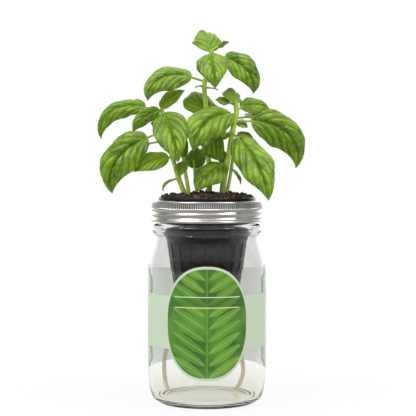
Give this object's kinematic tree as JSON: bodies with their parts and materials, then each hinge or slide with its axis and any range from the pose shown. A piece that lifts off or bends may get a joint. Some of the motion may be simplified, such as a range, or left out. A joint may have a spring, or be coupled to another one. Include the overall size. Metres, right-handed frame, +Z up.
{
  "type": "hydroponic jar planter",
  "caption": "Round wide-mouth glass jar with a screw band over a hanging net pot of growing medium, two wicks into the reservoir and a leafy basil plant.",
  "frame": {"origin": "on the jar's axis, in the plane that it stands on", "axes": "+Z up along the jar's axis, -Y towards the front of the label, +X to the right"},
  "size_m": [0.17, 0.1029, 0.3016],
  "materials": {
    "glass": "clear with a slight green tint",
    "label_paper": "printed satin paper",
    "tinplate": "bright satin tinplate",
    "black_plastic": "moulded satin plastic",
    "coir": "crumbly dark brown coir",
    "cotton": "twisted natural cotton",
    "green_stem": "smooth living stem",
    "leaf": "satin quilted living leaf"
  },
  "bodies": {
    "jar": {"glass_jar": "glass", "label": "label_paper"},
    "insert": {"net_pot": "black_plastic", "growing_medium": "coir", "wick_left": "cotton", "wick_right": "cotton", "stem_left": "green_stem", "stem_left_short": "green_stem", "stem_back": "green_stem", "stem_tall": "green_stem", "stem_right": "green_stem", "stem_right_short": "green_stem", "leaf_crown": "leaf", "leaf_small_top": "leaf", "leaf_upper_front": "leaf", "leaf_upper_right": "leaf", "leaf_upper_left": "leaf", "leaf_pale_left": "leaf", "leaf_far_left": "leaf", "leaf_small_left": "leaf", "leaf_big_left": "leaf", "leaf_centre_left": "leaf", "leaf_centre_back": "leaf", "leaf_centre_front": "leaf", "leaf_side_crown": "leaf", "leaf_small_upper_right": "leaf", "leaf_right": "leaf", "leaf_far_right": "leaf", "leaf_big_right": "leaf", "leaf_low_centre": "leaf", "leaf_folded": "leaf", "leaf_low_back": "leaf", "leaf_low_left": "leaf", "leaf_small_low_left": "leaf", "leaf_seed_left": "leaf", "leaf_small_right": "leaf", "leaf_node_right": "leaf", "leaf_small_mid": "leaf", "leaf_seed_right": "leaf", "leaf_bud_left": "leaf", "leaf_bud_right": "leaf", "leaf_dark_right": "leaf", "leaf_dark_left": "leaf", "leaf_rear_upper": "leaf", "leaf_rear_centre": "leaf", "leaf_rear_left": "leaf", "leaf_rear_right": "leaf", "leaf_rear_low_right": "leaf", "leaf_rear_low_left": "leaf", "leaf_rear_low_centre": "leaf"},
    "band": {"screw_band": "tinplate"}
  },
  "joints": [
    {"name": "insert_lift", "type": "slide", "parent": "jar", "child": "insert", "axis": [0, 0, 1], "range_m": [0, 0.17]},
    {"name": "band_turn", "type": "hinge", "parent": "insert", "child": "band", "pos_m": [0, 0, 0.155], "axis": [0, 0, 1], "range_deg": [0, 450]}
  ]
}
